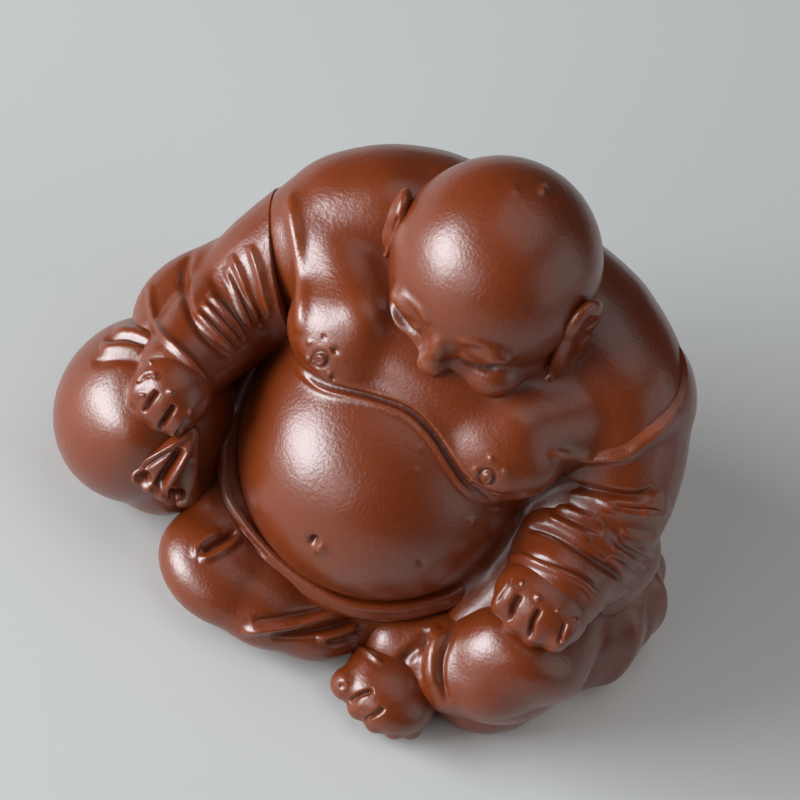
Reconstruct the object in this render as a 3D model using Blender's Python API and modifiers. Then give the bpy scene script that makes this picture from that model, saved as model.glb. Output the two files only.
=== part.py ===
"""Seated laughing-buddha tea pet in fired red clay, modelled as the potter's separate pieces.

The body is a hollow press-moulded shell in a front and a back half, closed below by a slab with a
vent hole. Head, ears, sleeves, hands, legs, foot, sack and waistband are formed apart and luted on,
each trimmed to the piece that carries it with a thin slip joint between them.

Frame: the figure faces -Y, its own left is +X, +Z is up, and the origin is on the table inside the body.
"""

import math

import bmesh
import bpy
from mathutils import Euler, Matrix, Vector

MM = 0.001  # sizes below are in millimetres

# Joints between pieces
SLIP_JOINT = 0.3        # gap that the slip fills between luted pieces
REACH = 100.0           # half size of the blocks that trim pieces, larger than the figure
WELD = 0.002            # corners closer than this are one corner

# Hollow body, given as the middle and the full size of each swelling
WALL = 4.5              # thickness of the press-moulded shell
SEAM_Y = 1.5            # plane where the front and back halves meet
BELLY = (0.6, -6.0, 19.5)
BELLY_SIZE = (37.8, 41.2, 34.6)
BACK = (1.0, 8.0, 25.0)
BACK_SIZE = (54.0, 39.0, 47.0)
CHEST = (0.0, -3.0, 35.0)
CHEST_SIZE = (36.0, 20.0, 15.4)
BREAST = (11.6, -8.0, 35.0)   # the left one; the right one mirrors it
BREAST_SIZE = (16.0, 14.0, 11.0)
BREAST_TURN = (42.0, 0.0, 8.0)  # degrees
SKIRT = (1.0, 9.5, 12.0)      # the robe spread on the table behind
SKIRT_SIZE = (64.0, 40.0, 37.0)

# Shoulders, one roll from arm to arm behind the neck, given as places along it and its thickness there
SHOULDER_SIZE = 21.0
UPPER_ARM_SIZE = 18.7
HUNCH_SIZE = 24.2
RIGHT_UPPER_ARM = (-20.2, 3.6, 33.2)
RIGHT_SHOULDER = (-18.5, 6.0, 34.9)
RIGHT_HUNCH = (-11.5, 10.0, 36.5)
NAPE = (0.0, 11.0, 36.5)
LEFT_HUNCH = (12.6, 10.4, 36.4)
LEFT_SHOULDER = (19.5, 7.0, 36.3)
LEFT_UPPER_ARM = (21.6, 5.0, 34.8)

# Breast muscle from the armpit to the breast, and the robe's open edges beside the belly
RIGHT_ARMPIT = (-18.5, 2.0, 35.2)
LEFT_ARMPIT = (17.4, 2.8, 36.0)
ARMPIT_SIZE = 14.8
MUSCLE = (11.5, -6.6, 36.0)   # its left end; the right end mirrors it
MUSCLE_SIZE = 11.7
RIGHT_PANEL_TOP = (-22.0, -2.0, 21.0)
RIGHT_PANEL_FOOT = (-21.6, -9.0, 14.0)
RIGHT_PANEL_SIZE = 7.4
LEFT_PANEL_TOP = (23.0, -3.0, 28.0)
LEFT_PANEL_MIDDLE = (23.8, -9.4, 20.4)
LEFT_PANEL_FOOT = (22.6, -14.4, 11.4)
LEFT_PANEL_SIZE = 9.6

# Base slab, an oval let into the underside below the middle of the spread robe
SLAB_LENGTH = 36.0
SLAB_DEPTH = 26.0
SLAB_THICKNESS = 4.0
SLAB_LEDGE = 1.6        # width of the ledge that the slab seats against
LEDGE_RISE = 3.0        # how far the opening above the ledge reaches into the cavity
VENT_DIAMETER = 5.0
VENT_BACK = 7.0         # the vent hole's middle, behind the slab's middle
CUT_OVER = 1.0          # how far a cutter runs past the face it cuts

# Head, with the features placed from the skull's middle
HEAD = (-1.6, 3.0, 48.1)
HEAD_SIZE = (25.6, 27.0, 26.0)
HEAD_TURN = (6.0, -9.0, -3.0)  # degrees: nod, tilt to the right shoulder, turn to the sack
JAW = (0.0, -1.5, -6.5)
JAW_SIZE = (24.1, 23.0, 19.0)
CHIN = (0.0, -5.5, -12.0)
CHIN_SIZE = (14.0, 12.0, 9.0)
NOSE_BRIDGE = (0.0, -12.5, -3.2)
NOSE_BRIDGE_SIZE = (3.2, 4.4, 7.0)
NOSE_TIP = (0.0, -13.0, -5.9)
NOSE_TIP_SIZE = (4.4, 4.2, 3.2)
LIPS = (0.0, -11.9, -10.6)
LIPS_SIZE = (7.0, 5.0, 3.4)
CHEEK = (5.8, -8.9, -6.8)
CHEEK_SIZE = (8.5, 7.5, 7.5)
BROW = (4.6, -10.9, -0.6)
BROW_SIZE = (8.0, 4.6, 3.0)
EAR = (12.9, -3.6, -3.2)
EAR_SIZE = (2.6, 6.0, 13.4)
LOBE = (12.4, -5.0, -10.6)
LOBE_SIZE = (3.0, 4.4, 8.6)
EAR_FLARE = 18.0        # degrees that the ears stand off the head

# Sleeves: a roll from the shoulder to the cuff, cut off above by the rim of the slipped robe
SLEEVE_COVER = 0.5      # how far the sleeve stands proud of the bare arm
RIGHT_ARM = (-22.8, 0.4, 29.0)
RIGHT_ELBOW = (-24.8, -5.0, 23.8)
RIGHT_FOREARM = (-25.6, -12.0, 23.4)
RIGHT_FOREARM_SIZE = 12.8
RIGHT_WRIST = (0.0, 3.6, 0.5)  # the cuff's middle, from the fist's middle
RIGHT_CUFF_SIZE = 10.4
RIGHT_RIM_FACING = (-0.73, -0.36, -0.58)
RIGHT_RIM_DROP = 0.4    # how far the rim lies past the shoulder's middle, as a share of its thickness
RIGHT_DRAPE_TOP = (-26.5, -2.0, 23.0)
RIGHT_DRAPE_MIDDLE = (-30.4, -6.5, 20.0)
RIGHT_DRAPE_END = (-29.8, -12.5, 19.6)
RIGHT_DRAPE_SIZES = (14.0, 11.8, 9.6)
LEFT_ARM = (26.0, 2.0, 29.8)
LEFT_ELBOW = (28.6, -2.8, 24.0)
LEFT_FOREARM = (27.8, -7.0, 22.8)
LEFT_FOREARM_SIZE = 16.0
LEFT_WRIST = (0.1, 4.8, 0.2)
LEFT_CUFF_SIZE = 12.6
LEFT_RIM_FACING = (0.52, 0.27, -0.81)
LEFT_RIM_DROP = 0.02
LEFT_DRAPE_TOP = (30.6, -1.0, 22.0)
LEFT_DRAPE_END = (31.0, 0.0, 17.0)
LEFT_DRAPE_SIZE = 13.6
ARM_SIZE = 17.0
ELBOW_SIZE = 15.0
FOLDS = 6               # drapery folds round each forearm
FOLD_SIZE = 2.2
FOLD_BEND = 70          # degrees that a fold wraps to each side of the front
FOLD_FRONT = (0.0, -1.0, 0.7)  # the way the folded side of the sleeve faces
FOLD_FIRST, FOLD_LAST = 0.4, 0.9  # shares of the sleeve between which the folds lie
FOLD_SLANT = 1.6        # how far a fold runs along the sleeve from its middle to its end
FOLD_TAPER = 0.5        # share of its size that a fold loses towards its ends
FOLD_BITE = 0.5         # how far a fold's middle lies below the sleeve's skin
FOLD_STEPS = 5          # lumps to each side of a fold's middle

# Hands, loose fists seen from above; sizes across, front to back and high
RIGHT_HAND = (-25.8, -22.4, 22.7)
RIGHT_HAND_SIZE = (10.2, 10.6, 9.8)
LEFT_HAND = (27.7, -16.2, 23.0)
LEFT_HAND_SIZE = (12.6, 10.0, 9.2)
HAND_NOD = 10.0         # degrees
FINGERS = 4
FINGER_SIZE = 3.0
FINGER_INSET = 0.8      # share of a finger's size that the outer ones keep inside the fist's width
KNUCKLE = (-2.6, 1.6)   # forward and up from the fist's middle
FINGER_BEND = (-3.7, 0.5)
FINGERTIP = (-3.8, -1.2)

# Sack under the right hand, and its gathered mouth
SACK = (-27.2, -17.3, 12.0)
SACK_SIZE = (22.2, 24.6, 24.0)
SACK_NECK = (-25.8, -20.0, 18.0)
NECK_SIZE = 12.0
MOUTH_TOP = (-21.0, -23.0, 20.8)
MOUTH_FIRST = (-23.8, -28.8, 13.4)  # feet of the first and the last pleat
MOUTH_LAST = (-17.0, -25.6, 10.8)
MOUTH_BULGE = (0.0, -0.5, 0.6)      # how far the pleats belly out half way down
PLEATS = 4
PLEAT_SIZE = 3.1

# Right leg, folded flat before the belly: the thigh, then middles and sizes from the knee to the heel
RIGHT_HIP = (-15.0, -9.0, 7.0)
RIGHT_THIGH = (-11.2, -18.6, 5.6)
RIGHT_THIGH_SIZE = 12.2
RIGHT_KNEE = (-7.5, -24.6, 4.6)
RIGHT_KNEE_SIZE = (18.4, 16.4, 10.8)
RIGHT_CALF = (-2.0, -24.2, 4.5)
RIGHT_CALF_SIZE = (18.0, 15.4, 10.6)
RIGHT_SHIN = (2.6, -22.6, 4.2)
RIGHT_SHIN_SIZE = (18.0, 13.8, 9.8)
RIGHT_HEEL = (8.5, -19.8, 4.2)
RIGHT_HEEL_SIZE = (10.0, 10.0, 9.0)
TROUSER_FOLD_TOP = (9.5, -19.6, 7.0)
TROUSER_FOLD_FOOT = (4.8, -22.8, 2.6)
TROUSER_FOLD_SIZE = 3.8
TROUSER_FOLD_SHIFT = 3.0

# Left leg, raised: places from the thigh to the trouser's cuff, and the trouser below it
LEFT_THIGH = (31.0, 0.0, 9.0)
LEFT_THIGH_SIZE = 14.0
LEFT_KNEE = (27.8, -17.6, 11.6)
LEFT_KNEE_SIZE = 15.6
LEFT_CUFF = (23.6, -19.6, 8.6)
TROUSER_CUFF_SIZE = 12.4
ANKLE_TOP = (21.0, -17.0, 7.0)
ANKLE_TOP_SIZE = 11.6
ANKLE = (15.8, -19.0, 4.8)
ANKLE_SIZE = 10.2

# Left foot, its toes in a fan round the heel with the big toe on the inside
FOOT = (18.0, -24.6, 3.6)
FOOT_SIZE = (13.0, 12.0, 8.0)
FOOT_TURN = -20.0       # degrees
HEEL = (18.6, -20.5)    # middle of the fan, seen from above
TOES = 5
TOE_FAN = 38.0          # degrees to each side of straight ahead
TOE_ROOT, TOE_TIP = 6.5, 8.7  # distances from the heel
TOE_ROOT_RISE, TOE_TIP_RISE = 3.1, 2.3
TOE_FALL = 0.5          # how much higher the big toe lies, and lower the little one, than the middle toe
BIG_TOE, SECOND_TOE, LITTLE_TOE = 4.6, 3.5, 2.8

# Robe pooled on the table under the raised leg and at the left side
HEM_FRONT = (26.6, -9.0, 3.5)
HEM_FRONT_SIZE = (20.4, 28.0, 14.0)
HEM_SIDE = (33.0, 4.0, 5.0)
HEM_SIDE_SIZE = (20.6, 26.0, 24.0)

# Waistband, a rolled coil of clay on a tilted ring round the belly
BAND = 3.6
BAND_TILT = 32.0        # degrees that the ring drops towards the front
BAND_FROM, BAND_TO = -116, 88  # degrees from the front, to the figure's right and left
BAND_STEPS = 26
BAND_PROUD = 0.6        # how far its middle lies outside the belly's skin

# Fineness of the skin laid over the lumps
BODY_GRAIN = 1.5
CAVITY_GRAIN = 2.2
CLOTH_GRAIN = 1.3
SLEEVE_GRAIN = 1.1
HEAD_GRAIN = 0.9
EAR_GRAIN = 0.8
FINE_GRAIN = 0.8
HAND_GRAIN = 0.7

# Share of the skin's faces that a piece keeps, and how often its skin is smoothed
BODY_SHARE = 0.13
CAVITY_SHARE = 0.09
HEAD_SHARE = 0.15
EAR_SHARE = 0.3
SLEEVE_SHARE = 0.15
SACK_SHARE = 0.17
LEG_SHARE = 0.16
HEM_SHARE = 0.12
FINE_SHARE = 0.2
BODY_SMOOTH_STEPS = 4
SLEEVE_SMOOTH_STEPS = 2
HAND_SMOOTH_STEPS = 1

# Fineness of the shapes that lumps and cutters start from
BALL_SEGMENTS, BALL_RINGS = 28, 16
OVAL_SEGMENTS = 48
ROLL_STEP = 0.3         # spacing of the lumps along a roll, as a share of its thickness
SHARP_EDGE = 40.0       # degrees from which an edge is shown sharp

CLAY = (0.215, 0.037, 0.007)  # linear colour of the fired clay
GLAZE_ROUGHNESS = 0.38


def clear_scene():
    for obj in list(bpy.data.objects):
        bpy.data.objects.remove(obj)


def make_collection(name):
    collection = bpy.data.collections.new(name)
    bpy.context.scene.collection.children.link(collection)
    return collection


def make_clay():
    clay = bpy.data.materials.new("fired_red_clay")
    clay.use_nodes = True
    shader = clay.node_tree.nodes["Principled BSDF"]
    shader.inputs["Base Color"].default_value = (*CLAY, 1)
    shader.inputs["Roughness"].default_value = GLAZE_ROUGHNESS
    shader.inputs["Metallic"].default_value = 0.0
    return clay


clear_scene()
PIECES = make_collection("laughing_buddha_tea_pet")
CUTTERS = make_collection("trimming_shapes")
CLAY_MATERIAL = make_clay()


# Lumps of clay: (middle, half sizes, turn in degrees), all in millimetres

def ball(middle, size, turn=(0, 0, 0), inset=0.0):
    sizes = size if isinstance(size, tuple) else (size, size, size)
    return Vector(middle), Vector([s / 2 - inset for s in sizes]), turn


def mirrored(place, side):
    """A place given for the figure's left, or its mirror place where the side is -1."""
    return place[0] * side, place[1], place[2]


def roll(points, inset=0.0):
    """Lumps close together along a smooth line through points given as (middle, thickness)."""
    lumps = []
    for i in range(len(points) - 1):
        before = points[max(i - 1, 0)]
        start, end = points[i], points[i + 1]
        after = points[min(i + 2, len(points) - 1)]
        gap = (Vector(end[0]) - Vector(start[0])).length
        count = max(2, round(gap / (ROLL_STEP * min(start[1], end[1]))))
        for k in range(count + (i == len(points) - 2)):
            t = k / count
            middle = curve_point(*(Vector(p[0]) for p in (before, start, end, after)), t)
            lumps.append(ball(middle, start[1] + (end[1] - start[1]) * t, inset=inset))
    return lumps


def curve_point(a, b, c, d, t):
    """A point on the smooth curve from b to c, with a and d as the neighbours."""
    return (
        b
        + (c - a) * (0.5 * t)
        + (a - b * 2.5 + c * 2 - d * 0.5) * t**2
        + (b * 1.5 - a * 0.5 - c * 1.5 + d * 0.5) * t**3
    )


# Mesh tools

def add_object(name, mesh, collection):
    obj = bpy.data.objects.new(name, mesh)
    collection.objects.link(obj)
    return obj


def bake(obj):
    """Replaces the object's mesh by what its modifiers make of it."""
    bpy.context.view_layer.update()
    evaluated = obj.evaluated_get(bpy.context.evaluated_depsgraph_get())
    old = obj.data
    obj.data = bpy.data.meshes.new_from_object(evaluated)
    obj.modifiers.clear()
    bpy.data.meshes.remove(old)
    return obj


def make_unit_ball():
    shape = bmesh.new()
    bmesh.ops.create_uvsphere(shape, u_segments=BALL_SEGMENTS, v_segments=BALL_RINGS, radius=1)
    mesh = bpy.data.meshes.new("unit_ball")
    shape.to_mesh(mesh)
    shape.free()
    return mesh


UNIT_BALL = make_unit_ball()


def fuse(name, lumps, grain, share, smooth):
    """One skin of clay over the lumps: remeshed at the grain, smoothed, then thinned to a share."""
    shape = bmesh.new()
    for middle, half, turn in lumps:
        spin = Euler([math.radians(a) for a in turn])
        lump = UNIT_BALL.copy()
        lump.transform(Matrix.LocRotScale(middle * MM, spin, half * MM))
        shape.from_mesh(lump)
        bpy.data.meshes.remove(lump)
    mesh = bpy.data.meshes.new(name)
    shape.to_mesh(mesh)
    shape.free()
    obj = add_object(name, mesh, CUTTERS)
    skin = obj.modifiers.new("skin", "REMESH")
    skin.mode = "VOXEL"
    skin.voxel_size = grain * MM
    soften = obj.modifiers.new("soften", "SMOOTH")
    soften.iterations = smooth
    thin = obj.modifiers.new("thin", "DECIMATE")
    thin.ratio = share
    return bake(obj)


def block(name, low, high):
    """A plain box between two corners, used to trim with."""
    shape = bmesh.new()
    low, high = Vector(low) * MM, Vector(high) * MM
    matrix = Matrix.LocRotScale((low + high) / 2, None, high - low)
    bmesh.ops.create_cube(shape, size=1, matrix=matrix)
    mesh = bpy.data.meshes.new(name)
    shape.to_mesh(mesh)
    shape.free()
    return hide(add_object(name, mesh, CUTTERS))


def oval_disc(name, length, depth, bottom, top):
    """An upright oval prism round the spread robe's middle."""
    shape = bmesh.new()
    middle = Vector((SKIRT[0], SKIRT[1], (bottom + top) / 2))
    matrix = Matrix.LocRotScale(middle * MM, None, Vector((length, depth, top - bottom)) * MM)
    bmesh.ops.create_cone(
        shape, cap_ends=True, segments=OVAL_SEGMENTS, radius1=0.5, radius2=0.5, depth=1, matrix=matrix
    )
    mesh = bpy.data.meshes.new(name)
    shape.to_mesh(mesh)
    shape.free()
    return add_object(name, mesh, CUTTERS)


def hide(obj):
    obj.hide_render = True
    obj.display_type = "WIRE"
    return obj


def combine(obj, other, operation):
    cut = obj.modifiers.new(operation.lower(), "BOOLEAN")
    cut.operation = operation
    cut.object = other
    return bake(obj)


def grown(form):
    """A copy of a form, larger all round by the slip joint, to trim its neighbours with."""
    copy = hide(add_object(form.name + "_trim", form.data.copy(), CUTTERS))
    swell = copy.modifiers.new("swell", "DISPLACE")
    swell.strength = SLIP_JOINT * MM
    swell.mid_level = 0
    return bake(copy)


def overlaps(a, b):
    """True where the bounding boxes of two objects meet."""
    boxes = []
    for obj in (a, b):
        corners = [Vector(c) for c in obj.bound_box]
        boxes.append([(min(c[i] for c in corners), max(c[i] for c in corners)) for i in range(3)])
    return all(p[0] < q[1] and q[0] < p[1] for p, q in zip(*boxes))


def main_body(obj):
    """Drops the crumbs that trimming leaves, and welds what it split."""
    shape = bmesh.new()
    shape.from_mesh(obj.data)
    bmesh.ops.remove_doubles(shape, verts=shape.verts, dist=WELD * MM)
    bmesh.ops.dissolve_degenerate(shape, edges=shape.edges, dist=WELD * MM)
    left = set(shape.verts)
    bodies = []
    while left:
        body, front = set(), [left.pop()]
        while front:
            vert = front.pop()
            body.add(vert)
            near = {edge.other_vert(vert) for edge in vert.link_edges} & left
            left -= near
            front.extend(near)
        bodies.append(body)
    bodies.sort(key=len, reverse=True)
    crumbs = [vert for body in bodies[1:] for vert in body]
    bmesh.ops.delete(shape, geom=crumbs, context="VERTS")
    loose = [edge for edge in shape.edges if not edge.link_faces]
    bmesh.ops.delete(shape, geom=loose, context="EDGES")
    bmesh.ops.triangulate(shape, faces=shape.faces)
    shape.to_mesh(obj.data)
    shape.free()
    return obj


def finish(obj):
    """Puts a trimmed piece among the parts, with its clay and smooth shading."""
    CUTTERS.objects.unlink(obj)
    PIECES.objects.link(obj)
    obj.data.materials.clear()
    obj.data.materials.append(CLAY_MATERIAL)
    obj.data.shade_smooth()
    obj.data.set_sharp_from_angle(angle=math.radians(SHARP_EDGE))
    return obj


TABLE = block("table", (-REACH, -REACH, -REACH), (REACH, REACH, 0))
SEATED = []  # trimming copies of the pieces already in place, the carriers first


def lute(form):
    """Trims a form at the table and at every piece already in place, and adds it to the figure."""
    trim = grown(form)
    combine(form, TABLE, "DIFFERENCE")
    for neighbour in SEATED:
        if overlaps(form, neighbour):
            combine(form, neighbour, "DIFFERENCE")
    SEATED.append(trim)
    return finish(main_body(form))


def trunk_lumps(inset=0.0):
    """Belly, chest, back and shoulders; an inset makes them smaller all round, for the cavity."""
    swellings = [(BELLY, BELLY_SIZE), (BACK, BACK_SIZE), (CHEST, CHEST_SIZE), (SKIRT, SKIRT_SIZE)]
    shoulders = [
        (RIGHT_UPPER_ARM, UPPER_ARM_SIZE),
        (RIGHT_SHOULDER, SHOULDER_SIZE),
        (RIGHT_HUNCH, HUNCH_SIZE),
        (NAPE, HUNCH_SIZE),
        (LEFT_HUNCH, HUNCH_SIZE),
        (LEFT_SHOULDER, SHOULDER_SIZE),
        (LEFT_UPPER_ARM, UPPER_ARM_SIZE),
    ]
    return [ball(middle, size, inset=inset) for middle, size in swellings] + roll(shoulders, inset)


def front_lumps():
    """What stands on the trunk in front: breasts with their muscle, and the robe's open edges."""
    lumps = []
    for side, armpit in ((-1, RIGHT_ARMPIT), (1, LEFT_ARMPIT)):
        turn = (BREAST_TURN[0], 0, BREAST_TURN[2] * side)
        lumps.append(ball(mirrored(BREAST, side), BREAST_SIZE, turn))
        lumps += roll([(armpit, ARMPIT_SIZE), (mirrored(MUSCLE, side), MUSCLE_SIZE)])
    lumps += roll([(place, RIGHT_PANEL_SIZE) for place in (RIGHT_PANEL_TOP, RIGHT_PANEL_FOOT)])
    left = (LEFT_PANEL_TOP, LEFT_PANEL_MIDDLE, LEFT_PANEL_FOOT)
    return lumps + roll([(place, LEFT_PANEL_SIZE) for place in left])


def make_body():
    """Hollow trunk in two halves, with a rebate below for the base slab."""
    form = fuse("body_front_shell", trunk_lumps() + front_lumps(), BODY_GRAIN, BODY_SHARE, BODY_SMOOTH_STEPS)
    SEATED.append(grown(form))
    cavity = hide(fuse("cavity", trunk_lumps(WALL), CAVITY_GRAIN, CAVITY_SHARE, BODY_SMOOTH_STEPS))
    floor = block("cavity_floor", (-REACH, -REACH, -REACH), (REACH, REACH, SLAB_THICKNESS))
    combine(cavity, floor, "DIFFERENCE")
    narrow = 2 * SLAB_LEDGE
    fit = 2 * SLIP_JOINT
    above_ledge = SLAB_THICKNESS + LEDGE_RISE
    mouth = oval_disc("mouth", SLAB_LENGTH - narrow, SLAB_DEPTH - narrow, -CUT_OVER, above_ledge)
    seat = SLAB_THICKNESS + SLIP_JOINT
    rebate = oval_disc("rebate", SLAB_LENGTH + fit, SLAB_DEPTH + fit, -CUT_OVER, seat)
    combine(form, TABLE, "DIFFERENCE")
    for hollow in (cavity, hide(mouth), hide(rebate)):
        combine(form, hollow, "DIFFERENCE")
    back = add_object("body_back_shell", form.data.copy(), CUTTERS)
    front_end = SEAM_Y - SLIP_JOINT / 2
    back_end = SEAM_Y + SLIP_JOINT / 2
    combine(form, block("behind_seam", (-REACH, front_end, -REACH), (REACH, REACH, REACH)), "DIFFERENCE")
    combine(back, block("before_seam", (-REACH, -REACH, -REACH), (REACH, back_end, REACH)), "DIFFERENCE")
    finish(main_body(form))
    finish(main_body(back))


def make_base_slab():
    slab = oval_disc("base_slab", SLAB_LENGTH, SLAB_DEPTH, 0, SLAB_THICKNESS)
    vent = oval_disc("vent", VENT_DIAMETER, VENT_DIAMETER, -CUT_OVER, SLAB_THICKNESS + CUT_OVER)
    vent.data.transform(Matrix.Translation((0, VENT_BACK * MM, 0)))
    combine(slab, hide(vent), "DIFFERENCE")
    finish(main_body(slab))


def on_head(middle, size, flare=0.0):
    """A lump placed from the skull's middle and turned with the head."""
    nod, tilt, turn = HEAD_TURN
    place = Matrix.LocRotScale(Vector(HEAD), Euler([math.radians(a) for a in HEAD_TURN]), None)
    return ball(place @ Vector(middle), size, (nod, tilt, turn + flare))


def make_head():
    lumps = [
        on_head((0, 0, 0), HEAD_SIZE),
        on_head(JAW, JAW_SIZE),
        on_head(CHIN, CHIN_SIZE),
        on_head(NOSE_BRIDGE, NOSE_BRIDGE_SIZE),
        on_head(NOSE_TIP, NOSE_TIP_SIZE),
        on_head(LIPS, LIPS_SIZE),
    ]
    for side in (-1, 1):
        lumps.append(on_head(mirrored(CHEEK, side), CHEEK_SIZE))
        lumps.append(on_head(mirrored(BROW, side), BROW_SIZE))
    lute(fuse("head", lumps, HEAD_GRAIN, HEAD_SHARE, SLEEVE_SMOOTH_STEPS))


def make_ears():
    for name, side in (("right_ear", -1), ("left_ear", 1)):
        flare = -side * EAR_FLARE
        lumps = [
            on_head(mirrored(EAR, side), EAR_SIZE, flare),
            on_head(mirrored(LOBE, side), LOBE_SIZE, flare),
        ]
        lute(fuse(name, lumps, EAR_GRAIN, EAR_SHARE, HAND_SMOOTH_STEPS))


def along_line(points, share):
    """The middle, the diameter and the direction at a share of the way along a roll's points."""
    span = share * (len(points) - 1)
    i = min(int(span), len(points) - 2)
    part = span - i
    start, end = Vector(points[i][0]), Vector(points[i + 1][0])
    size = points[i][1] + (points[i + 1][1] - points[i][1]) * part
    return start.lerp(end, part), size, (end - start).normalized()


def sleeve_folds(points):
    """Drapery: thin raised rolls that slant across the front of a sleeve."""
    folds = []
    for k in range(FOLDS):
        share = FOLD_FIRST + (FOLD_LAST - FOLD_FIRST) * k / (FOLDS - 1)
        middle, size, along = along_line(points, share)
        front = Vector(FOLD_FRONT)
        forward = (front - along * along.dot(front)).normalized()
        across = along.cross(forward)
        for step in range(-FOLD_STEPS, FOLD_STEPS + 1):
            bend = step / FOLD_STEPS
            angle = math.radians(bend * FOLD_BEND)
            out = forward * math.cos(angle) + across * math.sin(angle)
            slant = along * (bend * FOLD_SLANT)
            thin = FOLD_SIZE * (1 - FOLD_TAPER * abs(bend))
            folds.append(ball(middle + out * (size / 2 - FOLD_BITE) + slant, thin))
    return folds


def make_sleeve(name, points, drape, facing, drop):
    """A wide sleeve with its drapery, cut off above at the rim where the robe has slipped down."""
    lumps = roll(points) + sleeve_folds(points) + roll(drape)
    form = fuse(name, lumps, SLEEVE_GRAIN, SLEEVE_SHARE, SLEEVE_SMOOTH_STEPS)
    above = block(name + "_rim", (-REACH, -REACH, -REACH), (REACH, REACH, 0))
    turn = Vector(facing).to_track_quat("Z", "Y").to_matrix().to_4x4()
    rim = Vector(points[0][0]) + Vector(facing) * (drop * SHOULDER_SIZE)
    above.data.transform(Matrix.Translation(rim * MM) @ turn)
    combine(form, above, "DIFFERENCE")
    lute(form)


def make_sleeves():
    top = SHOULDER_SIZE + 2 * SLEEVE_COVER
    right = [
        (RIGHT_SHOULDER, top),
        (RIGHT_ARM, ARM_SIZE),
        (RIGHT_ELBOW, ELBOW_SIZE),
        (RIGHT_FOREARM, RIGHT_FOREARM_SIZE),
        (Vector(RIGHT_HAND) + Vector(RIGHT_WRIST), RIGHT_CUFF_SIZE),
    ]
    left = [
        (LEFT_SHOULDER, top),
        (LEFT_ARM, ARM_SIZE),
        (LEFT_ELBOW, ELBOW_SIZE),
        (LEFT_FOREARM, LEFT_FOREARM_SIZE),
        (Vector(LEFT_HAND) + Vector(LEFT_WRIST), LEFT_CUFF_SIZE),
    ]
    right_drape = list(zip((RIGHT_DRAPE_TOP, RIGHT_DRAPE_MIDDLE, RIGHT_DRAPE_END), RIGHT_DRAPE_SIZES))
    left_drape = [(place, LEFT_DRAPE_SIZE) for place in (LEFT_DRAPE_TOP, LEFT_DRAPE_END)]
    make_sleeve("right_sleeve", right, right_drape, RIGHT_RIM_FACING, RIGHT_RIM_DROP)
    make_sleeve("left_sleeve", left, left_drape, LEFT_RIM_FACING, LEFT_RIM_DROP)


def make_hand(name, middle, size):
    """A loose fist: a rounded back, and the fingers curled down in front of it."""
    turn = (HAND_NOD, 0, 0)
    place = Matrix.LocRotScale(Vector(middle), Euler([math.radians(a) for a in turn]), None)
    lumps = [ball(middle, size, turn)]
    outer = size[0] / 2 - FINGER_SIZE * FINGER_INSET
    for k in range(FINGERS):
        x = outer * (2 * k / (FINGERS - 1) - 1)
        curl = [(place @ Vector((x, *at)), FINGER_SIZE) for at in (KNUCKLE, FINGER_BEND, FINGERTIP)]
        lumps += roll(curl)
    lute(fuse(name, lumps, HAND_GRAIN, FINE_SHARE, HAND_SMOOTH_STEPS))


def make_sack():
    neck = [(SACK_NECK, NECK_SIZE), (RIGHT_HAND, NECK_SIZE / 2)]
    lumps = [ball(SACK, SACK_SIZE)] + roll(neck)
    lute(fuse("cloth_sack", lumps, CLOTH_GRAIN, SACK_SHARE, BODY_SMOOTH_STEPS))


def make_sack_mouth():
    """The sack's gathered end, flaring out in pleats below the fist."""
    lumps = []
    for k in range(PLEATS):
        foot = Vector(MOUTH_FIRST).lerp(Vector(MOUTH_LAST), k / (PLEATS - 1))
        middle = Vector(MOUTH_TOP).lerp(foot, 0.5) + Vector(MOUTH_BULGE)
        lumps += roll([(place, PLEAT_SIZE) for place in (MOUTH_TOP, middle, foot)])
    lute(fuse("sack_mouth", lumps, FINE_GRAIN, FINE_SHARE, HAND_SMOOTH_STEPS))


def make_waistband():
    """A coil laid round the belly from one sleeve to the other, lowest in front."""
    width, depth, height = BELLY_SIZE
    slope = math.tan(math.radians(BAND_TILT))
    reach = 1 / math.hypot(2 / depth, 2 * slope / height)  # how far forward the tilted ring comes
    line = []
    for k in range(BAND_STEPS + 1):
        angle = math.radians(BAND_FROM + (BAND_TO - BAND_FROM) * k / BAND_STEPS)
        forward = -math.cos(angle) * reach
        skin = Vector((math.sin(angle) * width / 2, forward, forward * slope))
        line.append((Vector(BELLY) + skin * (1 + BAND_PROUD / skin.length), BAND))
    lute(fuse("waistband", roll(line), FINE_GRAIN, FINE_SHARE, SLEEVE_SMOOTH_STEPS))


def make_right_leg():
    """The leg folded flat in front of the belly, with the trouser's folds beside the other foot."""
    lumps = [
        ball(RIGHT_KNEE, RIGHT_KNEE_SIZE),
        ball(RIGHT_CALF, RIGHT_CALF_SIZE),
        ball(RIGHT_SHIN, RIGHT_SHIN_SIZE),
        ball(RIGHT_HEEL, RIGHT_HEEL_SIZE),
    ]
    lumps += roll([(place, RIGHT_THIGH_SIZE) for place in (RIGHT_HIP, RIGHT_THIGH)])
    for shift in (0, TROUSER_FOLD_SHIFT):
        aside = Vector((shift, 0, 0))
        top, foot = Vector(TROUSER_FOLD_TOP) + aside, Vector(TROUSER_FOLD_FOOT) + aside
        lumps += roll([(top, TROUSER_FOLD_SIZE), (foot, TROUSER_FOLD_SIZE)])
    lute(fuse("right_leg", lumps, CLOTH_GRAIN, LEG_SHARE, BODY_SMOOTH_STEPS))


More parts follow.
